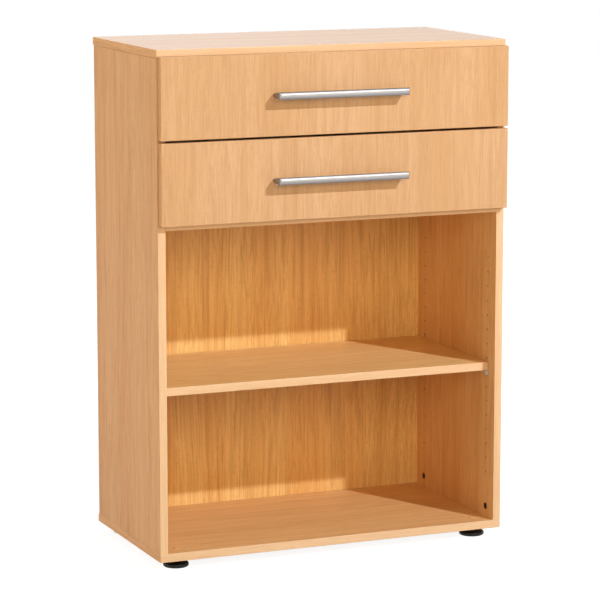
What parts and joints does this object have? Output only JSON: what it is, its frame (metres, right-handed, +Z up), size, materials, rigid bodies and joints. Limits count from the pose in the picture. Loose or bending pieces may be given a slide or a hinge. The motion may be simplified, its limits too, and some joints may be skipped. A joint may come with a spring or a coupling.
{
  "type": "office shelving unit",
  "caption": "Free-standing board cabinet in beech decor with pull-out drawers on roller runners above open compartments, an adjustable shelf, bar handles and levelling feet.",
  "frame": {"origin": "on the floor, below the middle of the whole box, handles included", "axes": "+Z up, +X to the right as seen from the front, -Y towards the drawers' user"},
  "size_m": [0.8, 0.4556, 1.1],
  "materials": {
    "beech_board": "matt printed beech decor on chipboard, grain along the long side",
    "beech_edging": "matt plastic edging with beech print",
    "drawer_board": "pale grey coated chipboard",
    "drawer_base": "pale coated hardboard",
    "satin_steel": "satin nickel finish with fine lengthwise brushing",
    "coated_steel": "cream powder coat on folded sheet",
    "zinc": "dull die-cast zinc",
    "plated_steel": "bright zinc plating",
    "nickel": "nickel plating on die-cast zinc",
    "roller_plastic": "pale moulded plastic",
    "foot_plastic": "black moulded plastic, fine texture",
    "cap_plastic": "beech coloured moulded plastic",
    "dowel_wood": "plain turned beech"
  },
  "bodies": {
    "carcass": {"top_panel": "beech_board", "top_panel_edging": "beech_edging", "bottom_panel": "beech_board", "bottom_panel_edging": "beech_edging", "left_side_panel": "beech_board", "left_side_edging": "beech_edging", "right_side_panel": "beech_board", "right_side_edging": "beech_edging", "fixed_shelf": "beech_board", "fixed_shelf_edging": "beech_edging", "back_panel": "beech_board", "back_panel_screws": "plated_steel", "carcass_cam_fittings": "zinc", "carcass_dowels": "dowel_wood", "shelf_supports": "nickel", "foot_sockets": "foot_plastic", "foot_hole_caps": "cap_plastic", "lower_left_cabinet_runner": "coated_steel", "lower_right_cabinet_runner": "coated_steel", "upper_left_cabinet_runner": "coated_steel", "upper_right_cabinet_runner": "coated_steel", "runner_screws": "plated_steel"},
    "shelf": {"adjustable_shelf": "beech_board", "adjustable_shelf_edging": "beech_edging"},
    "lower_drawer": {"lower_drawer_front": "beech_board", "lower_drawer_front_edging": "beech_edging", "lower_drawer_left_side": "drawer_board", "lower_drawer_right_side": "drawer_board", "lower_drawer_back": "drawer_board", "lower_drawer_bottom": "drawer_base", "lower_drawer_handle": "satin_steel", "lower_drawer_screws": "plated_steel", "lower_drawer_left_rail": "coated_steel", "lower_drawer_right_rail": "coated_steel", "lower_drawer_fittings": "zinc", "lower_drawer_dowels": "dowel_wood"},
    "lower_front_rollers": {"lower_cabinet_rollers": "roller_plastic"},
    "lower_rear_rollers": {"lower_drawer_rollers": "roller_plastic"},
    "upper_drawer": {"upper_drawer_front": "beech_board", "upper_drawer_front_edging": "beech_edging", "upper_drawer_left_side": "drawer_board", "upper_drawer_right_side": "drawer_board", "upper_drawer_back": "drawer_board", "upper_drawer_bottom": "drawer_base", "upper_drawer_handle": "satin_steel", "upper_drawer_screws": "plated_steel", "upper_drawer_left_rail": "coated_steel", "upper_drawer_right_rail": "coated_steel", "upper_drawer_fittings": "zinc", "upper_drawer_dowels": "dowel_wood"},
    "upper_front_rollers": {"upper_cabinet_rollers": "roller_plastic"},
    "upper_rear_rollers": {"upper_drawer_rollers": "roller_plastic"},
    "front_left_foot": {"front_left_foot_plate": "foot_plastic"},
    "front_left_spindle": {"front_left_foot_spindle": "plated_steel"},
    "front_right_foot": {"front_right_foot_plate": "foot_plastic"},
    "front_right_spindle": {"front_right_foot_spindle": "plated_steel"},
    "rear_left_foot": {"rear_left_foot_plate": "foot_plastic"},
    "rear_left_spindle": {"rear_left_foot_spindle": "plated_steel"},
    "rear_right_foot": {"rear_right_foot_plate": "foot_plastic"},
    "rear_right_spindle": {"rear_right_foot_spindle": "plated_steel"}
  },
  "joints": [
    {"name": "lower_drawer_slide", "type": "slide", "parent": "carcass", "child": "lower_drawer", "axis": [0, -1, 0], "range_m": [0, 0.27]},
    {"name": "lower_front_rollers_turn", "type": "hinge", "parent": "carcass", "child": "lower_front_rollers", "pos_m": [0, -0.15825, 0.76385], "axis": [1, 0, 0], "continuous": true},
    {"name": "lower_rear_rollers_turn", "type": "hinge", "parent": "lower_drawer", "child": "lower_rear_rollers", "pos_m": [0, 0.16525, 0.7647], "axis": [1, 0, 0], "continuous": true},
    {"name": "upper_drawer_slide", "type": "slide", "parent": "carcass", "child": "upper_drawer", "axis": [0, -1, 0], "range_m": [0, 0.27]},
    {"name": "upper_front_rollers_turn", "type": "hinge", "parent": "carcass", "child": "upper_front_rollers", "pos_m": [0, -0.15825, 0.9416], "axis": [1, 0, 0], "continuous": true},
    {"name": "upper_rear_rollers_turn", "type": "hinge", "parent": "upper_drawer", "child": "upper_rear_rollers", "pos_m": [0, 0.16525, 0.94245], "axis": [1, 0, 0], "continuous": true},
    {"name": "shelf_lift", "type": "slide", "parent": "carcass", "child": "shelf", "axis": [0, 0, 1], "range_m": [0, 0.32]},
    {"name": "front_left_foot_level", "type": "slide", "parent": "carcass", "child": "front_left_foot", "axis": [0, 0, -1], "range_m": [0, 0.009]},
    {"name": "front_left_spindle_turn", "type": "hinge", "parent": "front_left_foot", "child": "front_left_spindle", "pos_m": [-0.35, -0.13125, 0.02], "axis": [0, 0, -1], "continuous": true},
    {"name": "front_right_foot_level", "type": "slide", "parent": "carcass", "child": "front_right_foot", "axis": [0, 0, -1], "range_m": [0, 0.009]},
    {"name": "front_right_spindle_turn", "type": "hinge", "parent": "front_right_foot", "child": "front_right_spindle", "pos_m": [0.35, -0.13125, 0.02], "axis": [0, 0, -1], "continuous": true},
    {"name": "rear_left_foot_level", "type": "slide", "parent": "carcass", "child": "rear_left_foot", "axis": [0, 0, -1], "range_m": [0, 0.009]},
    {"name": "rear_left_spindle_turn", "type": "hinge", "parent": "rear_left_foot", "child": "rear_left_spindle", "pos_m": [-0.35, 0.18675, 0.02], "axis": [0, 0, -1], "continuous": true},
    {"name": "rear_right_foot_level", "type": "slide", "parent": "carcass", "child": "rear_right_foot", "axis": [0, 0, -1], "range_m": [0, 0.009]},
    {"name": "rear_right_spindle_turn", "type": "hinge", "parent": "rear_right_foot", "child": "rear_right_spindle", "pos_m": [0.35, 0.18675, 0.02], "axis": [0, 0, -1], "continuous": true}
  ],
  "couplings": [
    {"joint": "lower_front_rollers_turn", "follows": "lower_drawer_slide", "rad_per_m": 106.95},
    {"joint": "lower_rear_rollers_turn", "follows": "lower_drawer_slide", "rad_per_m": 98.039},
    {"joint": "upper_front_rollers_turn", "follows": "upper_drawer_slide", "rad_per_m": 106.95},
    {"joint": "upper_rear_rollers_turn", "follows": "upper_drawer_slide", "rad_per_m": 98.039},
    {"joint": "front_left_spindle_turn", "follows": "front_left_foot_level", "rad_per_m": 4188.8},
    {"joint": "front_right_spindle_turn", "follows": "front_right_foot_level", "rad_per_m": 4188.8},
    {"joint": "rear_left_spindle_turn", "follows": "rear_left_foot_level", "rad_per_m": 4188.8},
    {"joint": "rear_right_spindle_turn", "follows": "rear_right_foot_level", "rad_per_m": 4188.8}
  ]
}
